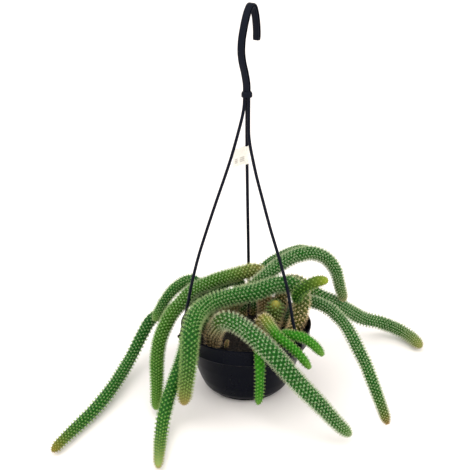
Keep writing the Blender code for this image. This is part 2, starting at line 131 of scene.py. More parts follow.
COLLAR_ROUNDING = 0.8
COLLAR_SEGMENTS = 64
SOCKET_RADIUS = STRAND_RADIUS + 0.25
SOCKET_SEGMENTS = 24
SOCKET_CUT = 3.0
HOOK_TURN = 55.0
HOOK_WIDTH = 7.0
HOOK_DEPTH = 4.8
HOOK_FLANGE = 1.5
HOOK_WEB = 3.6
HOOK_STEP = 1.6
HOOK_END_NARROWING = 0.12
HOOK_END_RINGS = 1.5
HOOK_ROUTE = [
    (-0.2, 329.4), (-0.6, 338.0), (-3.8, 350.0), (-7.8, 361.0), (-9.8, 372.0), (-9.0, 383.0),
    (-6.6, 392.0), (-3.4, 401.0), (0.6, 409.2), (5.6, 414.6), (10.8, 412.4), (14.4, 403.5),
    (16.4, 393.0), (17.0, 385.0), (16.6, 378.6),
]

# Edges sharper than this many degrees stay crisp
POT_CRISP = 35
COLLAR_CRISP = 40
ROD_CRISP = 50

# Most of a side that the rounding of an outline's corner takes up
SIDE_SHARE = 0.4

# Paper tag; a field of bars is left, right, low and high on its face
TAG_HEIGHT = 22.0
TAG_LENGTH = 12.5
TAG_END = TAG_LENGTH + 2.0
TAG_FOLD = 2.6
TAG_HALF_GAP = 0.32
TAG_COLUMNS = 22
TAG_ROWS = 45
TAG_PAPER = 0.18
TAG_SLEEVE_RADIUS = 2.4
TAG_MIDDLE = 262.0
TAG_DROOP = 0.42
TAG_CURL = 0.5
TAG_CURL_TURN = 0.16
BAR_FIELDS = ((2.6, 7.6, -7.2, -0.6), (9.6, 12.4, -6.6, -0.8))
BAR_START = 20
BAR_PITCH = 1.1
BETWEEN_BARS = 0.35

# How every stem is made
STEM_ROOT = 50.0
ROOT_STRAIGHT = 9.0
ROUTE_STEP = 0.7
TIP_TAPER_LENGTH = 95.0
TIP_TAPER_CURVE = 1.5
TIP_ROUNDING = 11.0
FRINGE = 0.19
SWELL = 0.012
SWELL_LENGTH = 9.0
TUBERCLE = 0.13
TUBERCLE_FULLNESS = 0.8
ROW_RATIO = 0.70
SHORTEST_ROW = 0.75
BARE_TIP = 0.4
RINGS_PER_ROW = 2
POINTS_PER_COLUMN = 2

# How every tuft is made; a tuft's size follows the radius of its stem
TUFT_RADIUS = 7.5
TUFT_SIZES = (0.45, 1.15)
TUFT_MARGIN = 0.5
SLOPE_STEP = 0.2
PAD_RADIUS = 0.56
PAD_HEIGHT = 0.4
PAD_STRETCH = 1.2
PAD_SINK = 0.15
PAD_SIDES = 6
SPINES = 15
SPINE_LENGTH = 3.2
SPINE_SHARES = (0.7, 1.12)
SPINE_RADIUS = 0.105
SPINE_CORNERS = (0.0, 2.094, 4.189)
# Tone at a spine's three root corners and at its tip: the darker roots are painted shade
SPINE_SHADED_TONES = (0.35, 0.35, 0.35, 1.0)
SPINE_BRIGHTNESS = (0.5, 1.0)
PAD_BRIGHTNESS = (0.4, 1.0)
SIDE_TILT = 0.3
SPINE_LEAN = (6.0, 62.0)
LEAN_STEP = 0.618
LEAN_SCATTER = 0.12
TURN_STEP = 2.4
TURN_SCATTER = 0.25
ROOT_CIRCLE = 0.25
ROOT_LIFT = 0.05
DRY_GROWTH = 0.25

# Colours
GREEN = (0.012, 0.125, 0.008)
FRESH = (0.03, 0.25, 0.004)
WARM = (0.045, 0.17, 0.006)
OLIVE = (0.05, 0.1, 0.012)
# Offshoot green, partly its own colour and partly painted shade
DEEP_GREEN_AND_SHADE = (0.008, 0.08, 0.004)
DRIED = (0.16, 0.13, 0.025)
PLAIN_TIP = (0.16, 0.3, 0.05)
WARM_BRISTLE = (0.6, 0.33, 0.1)
CREAM_BRISTLE = (0.95, 0.78, 0.52)
FELT_COLOURS = dict(fresh=(0.22, 0.52, 0.2), young=(0.16, 0.46, 0.04), old=(0.95, 0.66, 0.28))
BRISTLE_COLOURS = dict(fresh=(0.8, 0.88, 0.58), young=(0.32, 0.6, 0.08), old=(1.0, 0.72, 0.36))
POT_BLACK = (0.0008, 0.0016, 0.0052)
HANGER_BLACK = (0.0045, 0.006, 0.0115)
DUST = (0.12, 0.12, 0.13)
SOIL_COLOURS = ((0.006, 0.004, 0.003), (0.022, 0.014, 0.009), (0.07, 0.045, 0.026))
PAPER_COLOURS = ((0.78, 0.76, 0.68), (0.9, 0.89, 0.83))
BAR_COLOUR = (0.2, 0.16, 0.14)
FLOOR_COLOURS = ((0.98, 0.925, 0.895), (0.99, 0.945, 0.92))

# What a stem has unless it says otherwise:
#   neck, neck_length: share of its radius at the root, and where it is at its full radius
#   taper: share of its radius that it loses towards the tip
#   spread: how far apart its rows of tufts are, at even steps from root to tip
#   young: how lime its bristles are, at even steps from root to tip
#   fuzz, dim: how long and how bright its bristles are
#   dry, dry_skin, worn_and_shaded: reach of the dried base, its skin, and its darkest and palest
#       bristles there, a low range partly painted shade
#   tip, warm_tip, glow: skin colour at the tip, warmth of the bristles there, and reach of both
USUAL = dict(
    neck=0.74, neck_length=38.0, taper=0.24, spread=(1.0, 1.0), young=(0.0, 0.35), fuzz=1.0, dim=1.0,
    dry=7.0, dry_skin=DRIED, worn_and_shaded=(0.2, 0.8), tip=PLAIN_TIP, warm_tip=0.0, glow=6.0)

# Each stem's radius, columns of tufts, skin colour, what is its own, place in the soil and route
STEMS = {
    "stem_left_far": dict(
        radius=8.0, columns=14, green=GREEN, taper=0.3, spread=(1.0, 1.0, 1.3, 1.45, 1.45),
        young=(0.1, 0.8), fuzz=0.75, tip=(0.2, 0.17, 0.02), warm_tip=0.8, glow=14.0, root=(-4.5, 48),
        route=[
            (-4, 53, 74), (-4.5, 57.5, 87), (-8.5, 61.5, 94.5), (-17, 65.5, 94), (-28, 70, 85),
            (-40, 75, 75.5), (-52, 79, 66.5), (-66, 81.5, 59.5), (-88, 77, 51), (-106, 66, 46),
            (-117, 50, 33), (-129, 20, 18), (-143, -30, 12), (-157, -70, 9.5), (-167, -93, 8.8),
            (-176, -113, 8.6), (-185, -133, 8.0), (-191, -147, 6.8)]),
    "stem_left_back": dict(
        radius=8.2, columns=14, green=GREEN, taper=0.3, young=(0.5, 0.6), root=(-39, 31),
        route=[
            (-43, 37, 77), (-49, 46, 91), (-56, 53, 98), (-64, 56, 98), (-73, 54.5, 94),
            (-81, 50, 89), (-88, 44, 82), (-94, 38, 74), (-98, 33, 67), (-101, 29, 61)]),
    "stem_left_middle": dict(
        radius=9.0, columns=16, green=WARM, taper=0.3, young=(0.9, 0.9, 0.3, 0.8, 0.95), fuzz=0.85,
        dry=66.0, dry_skin=(0.4, 0.24, 0.09), worn_and_shaded=(0.7, 1.0), root=(20, 42),
        route=[
            (21, 45, 78), (20.5, 49, 99), (14, 52, 111), (5, 50, 112.5), (-6, 47, 111),
            (-20, 44, 108.5), (-35, 38, 106), (-50, 31, 102), (-61, 24, 98), (-70, 15, 91),
            (-80, 5, 82), (-88, -6, 70), (-93, -16, 58), (-95, -28, 42), (-94.5, -42, 28),
            (-94, -58, 17), (-94, -72, 9.5)]),
    "stem_left_front": dict(
        radius=8.4, columns=14, green=GREEN, taper=0.45, spread=(1.0, 1.0, 1.1, 1.5, 1.6),
        young=(0.5, 1.0), fuzz=0.75, tip=(0.28, 0.4, 0.12), warm_tip=0.8, glow=20.0, root=(-42, 8),
        route=[
            (-46, 1, 74), (-51, -17, 86), (-56, -35.5, 89.5), (-60.5, -48.5, 85.5), (-63, -59.5, 75),
            (-68.5, -67.5, 58), (-76.5, -76, 38), (-81, -84, 27), (-85, -101, 14), (-86, -122, 9.2),
            (-86, -148, 8.8), (-85.5, -176, 7.6)]),
    "stem_front_main": dict(
        radius=10.7, columns=16, green=GREEN, taper=0.34, spread=(1.3, 1.0, 1.0, 1.0, 1.0, 1.0),
        young=(0.0, 0.9), dry=45.0, worn_and_shaded=(0.3, 0.95), tip=(0.42, 0.3, 0.1), warm_tip=0.8, glow=12.0,
        root=(50, 2),
        route=[
            (55.3, 4, 72), (59.7, 8, 91), (58, 11, 106), (48, 13, 113), (31, 11, 113), (10, 2, 109.5),
            (-12, -7, 109), (-26, -15, 109), (-39, -27, 109), (-47, -38, 108), (-52.5, -50, 106),
            (-55.5, -62, 102), (-57, -75, 94), (-58, -82, 82), (-59, -86, 68), (-61, -89, 52),
            (-63, -91, 37), (-64, -92, 27)]),
    "stem_front_right": dict(
        radius=10.6, columns=16, green=GREEN, taper=0.42, spread=(1.7, 1.0, 1.0, 1.0, 1.0, 1.0),
        young=(0.0, 0.25), dry=42.0, dry_skin=(0.3, 0.17, 0.07), worn_and_shaded=(0.5, 1.0), root=(-35, -23),
        route=[
            (-35, -26, 67), (-34, -31, 78), (-30.5, -38, 88), (-26, -46.5, 98), (-20, -52, 102.5),
            (-11, -59, 102.5), (-1, -68, 100), (9, -80, 97), (24, -95, 88.5), (37, -103, 76.5),
            (51, -109, 62), (73, -117, 41), (89.5, -121.5, 23.5), (104, -122, 9)]),
    "stem_front_short": dict(
        radius=6.9, columns=10, green=FRESH, neck=0.6, neck_length=75.0, young=(0.7, 0.9), fuzz=0.75,
        dim=0.8, root=(12, -34),
        route=[
            (12.5, -42, 71), (13, -53, 80.5), (13, -66, 83.5), (13, -76.5, 78), (13.5, -83.5, 66),
            (13.5, -84, 50), (13, -83, 33), (12, -82, 21)]),
    "shoot_right_low": dict(
        radius=6.8, columns=10, green=FRESH, neck=1.35, neck_length=70.0, spread=(1.6, 1.0, 1.0, 1.0),
        young=(0.6, 0.8), fuzz=0.85, dry=52.0, dry_skin=(0.6, 0.36, 0.1), worn_and_shaded=(0.85, 1.0),
        root=(15, -10),
        route=[
            (15.5, -11, 70), (17, -14, 83), (20.5, -23, 88), (25, -40, 88.5), (31, -61, 90),
            (39, -71, 87.5), (49.5, -79, 81.5), (57, -86, 75.5), (64, -93, 68.5)]),
    "shoot_right_high": dict(
        radius=7.3, columns=12, green=FRESH, neck=0.6, neck_length=70.0, young=(0.5, 0.9), fuzz=0.75,
        dim=0.8, root=(35, -27),
        route=[
            (35.5, -32, 68), (37, -40, 78), (40, -48, 84.5), (43.5, -55.5, 88), (49.5, -61, 89.5),
            (55, -63, 89.5), (61, -65, 87.5), (67, -68, 84), (73, -72, 79.5), (78, -76, 74)]),
    "stem_right_back": dict(
        radius=9.2, columns=16, green=GREEN, spread=(1.0, 1.2, 1.25, 1.1, 1.0), young=(0.0, 0.3),
        fuzz=0.85, dry=62.0, worn_and_shaded=(0.6, 1.0), tip=(0.24, 0.27, 0.06), warm_tip=0.5, glow=14.0,
        root=(37, 36),
        route=[
            (38, 37, 72), (40, 40, 91), (46, 43, 101.5), (55, 46, 101.5), (66, 49, 94), (84, 56, 79),
            (102, 70, 64), (121, 88, 44.5), (138, 102, 28.5), (158, 111, 19.2), (176, 110, 12.6),
            (189, 99, 10.2), (198, 82, 9.4), (203, 70, 8.0)]),
    "stem_right_front": dict(
        radius=7.5, columns=14, green=GREEN, young=(0.0, 0.45), tip=(0.2, 0.11, 0.03), warm_tip=0.8,
        glow=9.0, root=(45, 21),
        route=[
            (50, 24, 72), (58.5, 26.5, 84), (68, 26, 87), (80, 21, 86), (90, 13, 84), (99, 0, 80.5),
            (106, -12, 77), (112, -27, 71), (118, -42, 62.5), (124, -56, 54), (129, -70, 44),
            (134, -82, 33), (139, -91, 21), (144, -98, 7.5)]),
    # Its dried base keeps its bristles dark, partly dried colour and partly painted shade
    "stem_back_arch": dict(
        radius=8.9, columns=16, green=GREEN, taper=0.3, dry=50.0, worn_and_shaded=(0.0, 0.3),
        tip=(0.2, 0.2, 0.1), warm_tip=0.5, glow=8.0, root=(-22, 15),
        route=[
            (-21, 17, 78), (-11, 19, 90.5), (3, 23, 101.3), (18, 31, 111), (32, 41, 120),
            (49, 51.5, 127.2), (60, 56, 129.5), (72, 60, 130), (84, 62, 126), (93, 62.5, 119),
            (100, 62, 109), (103.5, 62, 98), (106.5, 61, 86), (111.5, 60, 71)]),
    "stem_back_low": dict(
        radius=6.5, columns=12, green=GREEN, root=(9.5, 52.5),
        route=[
            (10.5, 56, 70), (12.5, 61, 86), (15.5, 67, 98), (21, 75, 106), (29, 84, 109.5),
            (39, 91, 112.5), (51, 96, 116.5), (62, 98, 119), (75, 99, 117.5)]),
    "stem_stub": dict(
        radius=12.0, columns=16, green=OLIVE, taper=0.1, young=(0.7, 0.7), dry=22.0, worn_and_shaded=(0.35, 0.9),
        tip=(0.7, 0.6, 0.12), glow=2.6, root=(28, 10),
        route=[(29, 9.5, 70), (31, 8, 84), (32, 5.5, 97)]),
    "stem_bud": dict(
        radius=3.4, columns=8, green=FRESH, young=(0.6, 0.8), dry=20.0, root=(-21, -27),
        route=[(-21, -27.5, 62), (-19.5, -28.5, 67.5)]),
}

# A shoot that grows from the main stem's base, one piece with it
OFFSHOOT = dict(
    # Its deep green skin is partly its own colour and partly painted shade
    radius=7.9, columns=12, green=DEEP_GREEN_AND_SHADE, neck=0.8, taper=0.12, young=(0.9, 1.0), fuzz=0.75, dim=0.5,
    dry=6.0, tip=(0.3, 0.4, 0.03), warm_tip=0.7, glow=10.0,
    route=[
        (57, 8, 98), (55, 0, 103), (54, -8, 109), (56.5, -12, 117), (63, -16, 124.5),
        (70, -18, 129.5), (77, -19, 132), (86, -19, 132.5)])


def link(name, mesh, scale=MM):
    """A new object in the scene, from a mesh in millimetres or at another scale."""
    mesh.transform(Matrix.Scale(scale, 4))
    obj = bpy.data.objects.new(name, mesh)
    bpy.context.collection.objects.link(obj)
    return obj


def mesh_object(name, points, faces, finishes, face_finish=None):
    """A smooth piece from its points and faces, with a finish for each face if there are several."""
    mesh = bpy.data.meshes.new(name)
    mesh.from_pydata(np.asarray(points).tolist(), [], faces)
    obj = link(name, mesh)
    for finish in finishes:
        mesh.materials.append(finish)
    if face_finish is not None:
        mesh.polygons.foreach_set("material_index", face_finish)
    mesh.shade_smooth()
    return obj


def add_values(obj, name, values):
    """A number for each point, which the piece's material reads by its name."""
    attribute = obj.data.attributes.new(name, "FLOAT", "POINT")
    attribute.data.foreach_set("value", np.asarray(values, dtype=np.float32))


def stands_for(obj, *nodes):
    """Put a piece on the part's one body, in place of the solids it stands for."""
    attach(obj, "root")
    if nodes:
        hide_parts(*nodes)


# Materials

class Nodes:
    """A node tree being built, with short ways to add and join nodes."""

    def __init__(self, name, roughness, gloss=0.5):
        self.material = bpy.data.materials.new(name)
        self.material.use_nodes = True
        self.tree = self.material.node_tree
        self.shader = self.tree.nodes["Principled BSDF"]
        self.shader.inputs["Roughness"].default_value = roughness
        self.shader.inputs["Specular IOR Level"].default_value = gloss
        self.place = self.add("ShaderNodeTexCoord").outputs["Object"]

    def add(self, kind, **settings):
        node = self.tree.nodes.new(kind)
        for key, value in settings.items():
            setattr(node, key, value)
        return node

    def join(self, source, target):
        self.tree.links.new(source, target)

    def noise(self, scale, detail=4.0, roughness=0.6):
        node = self.add("ShaderNodeTexNoise")
        node.inputs["Scale"].default_value = scale
        node.inputs["Detail"].default_value = detail
        node.inputs["Roughness"].default_value = roughness
        self.join(self.place, node.inputs["Vector"])
        return node.outputs["Fac"]

    def value(self, name):
        return self.add("ShaderNodeAttribute", attribute_name=name).outputs["Fac"]

    def ramp(self, factor, stops):
        node = self.add("ShaderNodeValToRGB")
        elements = node.color_ramp.elements
        while len(elements) < len(stops):
            elements.new(0.5)
        for element, (position, colour) in zip(elements, stops):
            element.position = position
            element.color = (*colour, 1.0)
        self.join(factor, node.inputs["Fac"])
        return node.outputs["Color"]

    def levels(self, factor, low=0.0, high=1.0, start=0.0, end=1.0):
        node = self.add("ShaderNodeMapRange")
        for key, number in zip(("From Min", "From Max", "To Min", "To Max"), (low, high, start, end)):
            node.inputs[key].default_value = number
        self.join(factor, node.inputs["Value"])
        return node.outputs["Result"]

    def mix(self, factor, first, second, blend="MIX"):
        node = self.add("ShaderNodeMix", data_type="RGBA", blend_type=blend)
        for key, source in zip((0, 6, 7), (factor, first, second)):
            if isinstance(source, (int, float)):
                node.inputs[key].default_value = source
            elif isinstance(source, tuple):
                node.inputs[key].default_value = (*source, 1.0)
            else:
                self.join(source, node.inputs[key])
        return node.outputs[2]

    def bump(self, height, strength, distance):
        node = self.add("ShaderNodeBump")
        node.inputs["Strength"].default_value = strength
        node.inputs["Distance"].default_value = distance
        self.join(height, node.inputs["Height"])
        self.join(node.outputs["Normal"], self.shader.inputs["Normal"])

    def colour(self, source):
        self.join(source, self.shader.inputs["Base Color"])
        return self.material


def shade(colour, factor):
    return tuple(channel * factor for channel in colour)


def skin_material(name, green, tip, dried):
    """Green skin with painted shade between its tubercles and a painted highlight on their tops, with
    its tip's colour and a mottled dried base.
    """
    look = Nodes(name, roughness=0.5, gloss=0.12)
    # Painted shade in the grooves between tubercles and a painted highlight on their tops
    relief = look.ramp(look.value("relief"), [
        (0.0, shade(green, 0.2)), (0.45, shade(green, 0.6)), (1.0, shade(green, 1.25))])
    patches = look.ramp(look.noise(55.0), [(0.3, (0.72, 0.82, 0.75)), (0.7, (1.2, 1.12, 1.1))])
    colour = look.mix(1.0, relief, patches, "MULTIPLY")
    colour = look.mix(look.levels(look.value("tip"), end=0.85), colour, tip)
    mottled = look.ramp(look.noise(260.0), [(0.35, shade(dried, 0.22)), (0.65, dried)])
    colour = look.mix(look.levels(look.value("dry"), end=0.75), colour, mottled)
    look.bump(look.noise(1400.0, 3.0), 0.35, 0.0004)
    return look.colour(colour)


def bristle_material(name, colours, roughness):
    """Bristles or felt: fresh, lime where young, warm at a tip, dried colours on a dried base, the
    darkest partly painted shade; bristle roots darker as painted shade.
    """
    look = Nodes(name, roughness, gloss=0.15)
    fresh, young, old = (colours[age] for age in ("fresh", "young", "old"))
    tone = look.value("tone")
    # Tone holds random brightness and the painted shade at each bristle's root
    white = look.ramp(tone, [(0.0, shade(fresh, 0.3)), (1.0, fresh)])
    lime = look.ramp(tone, [(0.0, shade(young, 0.4)), (1.0, young)])
    # Dried colours, dark brown to cream; where a stem's range keeps them dark they are partly painted
    # shade
    worn_and_shaded = look.ramp(tone, [
        (0.0, shade(old, 0.04)), (0.25, shade(old, 0.4)), (0.5, old), (1.0, CREAM_BRISTLE)])
    colour = look.mix(look.value("young"), white, lime)
    colour = look.mix(look.value("tip"), colour, WARM_BRISTLE)
    colour = look.mix(look.value("dry"), colour, worn_and_shaded)
    mottling = look.levels(look.noise(900.0), 0.3, 0.7, end=0.15)
    return look.colour(look.mix(mottling, colour, shade(fresh, 0.6)))


def plastic_material(name, colour, roughness):
    """Moulded plastic with cloudy gloss, a fine grain and a little dust."""
    look = Nodes(name, roughness, gloss=0.05)
    cloud = look.levels(look.noise(35.0, 6.0), 0.3, 0.7, roughness - 0.06, roughness + 0.1)
    look.join(cloud, look.shader.inputs["Roughness"])
    dust = look.levels(look.noise(420.0, 8.0, 0.75), 0.52, 0.85, end=0.02)
    look.bump(look.noise(900.0, 5.0), 0.12, 0.0003)
    return look.colour(look.mix(dust, colour, DUST))


def soil_material(name, tone):
    look = Nodes(name, roughness=0.95)
    stops = [(place, shade(colour, tone)) for place, colour in zip((0.3, 0.55, 0.75), SOIL_COLOURS)]
    look.bump(look.noise(1500.0, 8.0), 0.9, 0.0008)
    return look.colour(look.ramp(look.noise(700.0, 8.0, 0.7), stops))


def paper_material(name):
    look = Nodes(name, roughness=0.8)
    fibre = look.ramp(look.noise(600.0, 8.0), list(zip((0.3, 0.7), PAPER_COLOURS)))
    look.bump(look.noise(1800.0, 6.0), 0.2, 0.0002)
    return look.colour(look.mix(look.levels(look.value("bars"), end=0.55), fibre, BAR_COLOUR))


def floor_material(name):
    look = Nodes(name, roughness=0.6)
    return look.colour(look.ramp(look.noise(3.0), list(zip((0.3, 0.7), FLOOR_COLOURS))))


# Shapes

def around(angle_degrees, radius):
    angle = math.radians(angle_degrees)
    return radius * math.cos(angle), radius * math.sin(angle)


def arc(centre, radius, start, end, steps):
    angles = [math.radians(start + (end - start) * i / steps) for i in range(steps + 1)]
    return [(centre[0] + radius * math.cos(a), centre[1] + radius * math.sin(a)) for a in angles]


def smooth_route(points, step):
    """Points every step or so along one smooth curve through the route's own points."""
    knots = [np.array(p, dtype=float) for p in points]
    knots = [2 * knots[0] - knots[1]] + knots + [2 * knots[-1] - knots[-2]]
    result = []
    for a, b, c, d in zip(knots, knots[1:], knots[2:], knots[3:]):
        pieces = max(2, round(np.linalg.norm(c - b) / step))
        for t in np.arange(pieces) / pieces:
            result.append(0.5 * (2 * b + (c - a) * t + (2 * a - 5 * b + 4 * c - d) * t * t
                                 + (3 * b - a - 3 * c + d) * t ** 3))
    result.append(knots[-2])
    return np.array(result)


def unit(vectors):
    return vectors / np.linalg.norm(vectors, axis=-1, keepdims=True)


class Line:
    """A smooth route with directions across it that never spin, read at any distance."""

    def __init__(self, route, step):
        points = smooth_route(route, step)
        along = unit(np.gradient(points, axis=0))
        first = np.array(Vector(points[1] - points[0]).orthogonal().normalized())
        across = [first]
        for direction in along[1:]:
            moved = across[-1] - direction * np.dot(across[-1], direction)
            across.append(moved / np.linalg.norm(moved))
        self.points = points
        self.along = along
        self.across = np.array(across)
        gaps = np.linalg.norm(np.diff(points, axis=0), axis=1)
        self.at = np.concatenate([[0.0], np.cumsum(gaps)])
        self.length = self.at[-1]

    def read(self, distances):
        def pick(table):
            return np.stack([np.interp(distances, self.at, table[:, k]) for k in range(3)], axis=-1)
        along = unit(pick(self.along))
        across = unit(pick(self.across))
        return pick(self.points), along, across, np.cross(along, across)


def tube_faces(rings, count):
    """Faces of a tube whose rings of points follow each other."""
    faces = []
    for k in range(rings - 1):
        for j in range(count):
            beside = (j + 1) % count
            faces.append((k * count + j, k * count + beside,
                          (k + 1) * count + beside, (k + 1) * count + j))
    return faces


def sweep(rings):
    """A closed rod through its rings of points."""
    count = len(rings[0])
    points = [tuple(p) for ring in rings for p in ring]
    ends = [tuple(reversed(range(count))), tuple(range(len(points) - count, len(points)))]
    return points, ends + tube_faces(len(rings), count)


def turned(name, outline, segments):
    """A mesh turned round the upright axis from an outline."""
    bm = bmesh.new()
    corners = [bm.verts.new((radius, 0.0, height)) for radius, height in outline]
    edges = [bm.edges.new(pair) for pair in zip(corners, corners[1:])]
    bmesh.ops.spin(bm, geom=corners + edges, cent=(0, 0, 0), axis=(0, 0, 1), angle=math.tau,
                   steps=segments, use_merge=True)
    bmesh.ops.remove_doubles(bm, verts=bm.verts, dist=0.001)
    bmesh.ops.recalc_face_normals(bm, faces=bm.faces)
    mesh = bpy.data.meshes.new(name)
    bm.to_mesh(mesh)
    bm.free()
    return mesh


def rounded(outline, radius, steps):
    """Round every corner of an outline, by less where its sides are short."""
    result = [outline[0]]
    for corner in zip(outline, outline[1:], outline[2:]):
        a, b, c = (Vector(p) for p in corner)
        reach = min(radius, SIDE_SHARE * (a - b).length, SIDE_SHARE * (c - b).length)
        start = b + (a - b).normalized() * reach
        end = b + (c - b).normalized() * reach
        for i in range(steps + 1):
            t = i / steps
            result.append(tuple(start.lerp(b, t).lerp(b.lerp(end, t), t)))
    result.append(outline[-1])
    return result


def add_cylinder(bm, radius, centre, height, sides):
    middle = Matrix.Translation((centre[0], centre[1], centre[2] + height / 2))
    bmesh.ops.create_cone(bm, cap_ends=True, segments=sides, radius1=radius, radius2=radius,
                          depth=height, matrix=middle)


def bmesh_object(name, bm):
    mesh = bpy.data.meshes.new(name)
    bm.to_mesh(mesh)
    bm.free()
    return link(name, mesh)


def combine(obj, other, operation):
    """Boolean with a helper object, applied, and the helper removed."""
    modifier = obj.modifiers.new(operation, "BOOLEAN")
    modifier.operation = operation
    modifier.solver = "EXACT"
    modifier.object = other
    bpy.context.view_layer.update()
    evaluated = obj.evaluated_get(bpy.context.evaluated_depsgraph_get())
    result = bpy.data.meshes.new_from_object(evaluated)
    obj.modifiers.remove(modifier)
    obj.data = result
    bpy.data.objects.remove(other, do_unlink=True)


def dress(obj, finish, crisp):
    """One finish all over, and smooth but for the edges sharper than an angle."""
    obj.data.materials.clear()
    obj.data.materials.append(finish)
    obj.data.shade_smooth()
    obj.data.set_sharp_from_angle(angle=math.radians(crisp))


# Stems

def stem_radius(spec, distance, total):
    """Overall radius: narrow where it grew from the soil, tapered and rounded at the tip."""
    rest = total - distance
    neck = spec["neck"]
    growth = np.minimum(1.0, distance / spec["neck_length"])
    taper = spec["taper"] * np.maximum(0.0, 1.0 - rest / TIP_TAPER_LENGTH) ** TIP_TAPER_CURVE
    rounding = np.minimum(1.0, rest / TIP_ROUNDING)
    cap = np.sqrt(1.0 - (1.0 - rounding) ** 2)
    return spec["radius"] * (neck + (1.0 - neck) * growth) * (1.0 - taper) * cap


def body_radius(outer, distance):
    """Radius of the green body on top of its tubercles, which swells a little here and there."""
    return outer * (1.0 - FRINGE) * (1.0 + SWELL * np.sin(distance / SWELL_LENGTH))


def along_stem(values, distance, total):
    """Values given at even steps from a stem's root to its tip, read at a distance."""
    return np.interp(distance, np.linspace(0.0, total, len(values)), values)


def row_places(spec, total):
    """Distances of the rows of tufts, closer together where the stem is thinner."""
    rows = [0.0]
    while True:
        body = stem_radius(spec, rows[-1], total) * (1.0 - FRINGE)
        spread = along_stem(spec["spread"], rows[-1], total)
        pitch = max(SHORTEST_ROW, spread * ROW_RATIO * math.tau * body / spec["columns"])
        if rows[-1] + pitch > total - BARE_TIP:
            return np.array(rows)
        rows.append(rows[-1] + pitch)


def stem_skin(spec, line):
    """The green body, raised into a tubercle under each tuft: points, faces, relief and distance."""
    rows = row_places(spec, line.length)
    columns = spec["columns"]
    row = np.arange((len(rows) - 1) * RINGS_PER_ROW + 1) / RINGS_PER_ROW
    column = np.arange(columns * POINTS_PER_COLUMN) / POINTS_PER_COLUMN
    distance = np.interp(row, np.arange(len(rows)), rows)
    outer = stem_radius(spec, distance, line.length)
    top = body_radius(outer, distance)
    relief = 0.5 + 0.5 * np.cos(math.pi * column)[None, :] * np.cos(math.pi * row)[:, None]
    radius = top[:, None] - (outer * TUBERCLE)[:, None] * (1.0 - relief ** TUBERCLE_FULLNESS)
    centre, _, across, over = line.read(distance)
    angle = math.tau * column / columns
    points = centre[:, None] + radius[..., None] * (
        np.cos(angle)[None, :, None] * across[:, None] + np.sin(angle)[None, :, None] * over[:, None])
    rings, count = radius.shape
    points = np.concatenate([points.reshape(-1, 3), line.points[:1], line.points[-1:]])
    faces = tube_faces(rings, count)
    foot, apex = rings * count, rings * count + 1
    last = (rings - 1) * count
    for j in range(count):
        beside = (j + 1) % count
        faces.append((beside, j, foot))
        faces.append((last + j, last + beside, apex))
    relief = np.concatenate([relief.ravel(), [0.0, 1.0]])
    distance = np.concatenate([np.repeat(distance, count), [0.0, line.length]])
    return points, faces, relief, distance


def tuft_places(spec, line, first):
    """Each tuft above a distance: point, outward normal, along, distance and stem radius."""
    rows = row_places(spec, line.length)
    columns = spec["columns"]
    row, column = np.meshgrid(np.arange(len(rows)), np.arange(columns), indexing="ij")
    keep = ((row + column) % 2 == 0) & (rows[row] > first)
    distance = rows[row][keep]
    angle = math.tau * column[keep] / columns
    outer = stem_radius(spec, distance, line.length)
    ahead = stem_radius(spec, np.minimum(distance + SLOPE_STEP, line.length), line.length)
    slope = (ahead - outer) / SLOPE_STEP
    centre, along, across, over = line.read(distance)
    out = np.cos(angle)[:, None] * across + np.sin(angle)[:, None] * over
    normal = unit(out - slope[:, None] * along)
    place = centre + out * body_radius(outer, distance)[:, None]
    return place, normal, unit(np.cross(np.cross(normal, along), normal)), distance, outer


def felt_pads(place, normal, along, side, size):
    """A low dome of felt on each tubercle: points and faces."""
    count = len(place)
    angles = math.tau * np.arange(PAD_SIDES) / PAD_SIDES
    ring = (np.cos(angles)[None, :, None] * along[:, None] * PAD_STRETCH
            + np.sin(angles)[None, :, None] * side[:, None])
    rim = place[:, None] + PAD_RADIUS * size[..., None] * ring - PAD_SINK * normal[:, None]
    dome = place + PAD_HEIGHT * size * normal
    points = np.concatenate([rim, dome[:, None]], axis=1).reshape(-1, 3)
    start = np.arange(count)[:, None] * (PAD_SIDES + 1)
    steps = np.arange(PAD_SIDES)
    middle = np.broadcast_to(start + PAD_SIDES, (count, PAD_SIDES))
    faces = np.stack([start + steps, start + (steps + 1) % PAD_SIDES, middle], axis=-1)
    return points, faces.reshape(-1, 3)


def bristle_spikes(place, normal, along, side, size, growth, draw):
    """Slim spikes that lean out all round each tuft: points, faces and tones, darker at each root as
    painted shade.
    """
    count = len(place)
    index = np.arange(SPINES)
    low, high = np.radians(SPINE_LEAN)
    lean = (low + (high - low) * ((index * LEAN_STEP) % 1.0))[None, :]
    lean = lean + draw.normal(0, LEAN_SCATTER, (count, SPINES))
    turn = (index * TURN_STEP)[None, :] + draw.uniform(0, math.tau, (count, 1))
    turn = turn + draw.normal(0, TURN_SCATTER, (count, SPINES))
    flat = np.cos(turn)[..., None] * along[:, None] + np.sin(turn)[..., None] * side[:, None]
    direction = np.cos(lean)[..., None] * normal[:, None] + np.sin(lean)[..., None] * flat
    length = SPINE_LENGTH * size * draw.uniform(*SPINE_SHARES, (count, SPINES))
    length *= growth[:, None]
    root = (place[:, None] + ROOT_CIRCLE * PAD_RADIUS * size[..., None] * flat
            + ROOT_LIFT * normal[:, None])
    tip = root + direction * length[..., None]
    first_side = unit(np.cross(direction, normal[:, None] + SIDE_TILT * along[:, None]))
    second_side = np.cross(direction, first_side)
    corners = [root + SPINE_RADIUS * (math.cos(a) * first_side + math.sin(a) * second_side)
               for a in SPINE_CORNERS]
    points = np.stack(corners + [tip], axis=2).reshape(-1, 3)
    base = np.arange(count * SPINES)[:, None] * len(SPINE_SHADED_TONES)
    faces = np.concatenate([base + np.array(f) for f in ((0, 1, 3), (1, 2, 3), (2, 0, 3))])
    bright = draw.uniform(*SPINE_BRIGHTNESS, count * SPINES)
    # Random brightness for each spine, darker at its root as painted shade
    tones = bright[:, None] * np.array([SPINE_SHADED_TONES])
    return points, faces, tones.ravel()


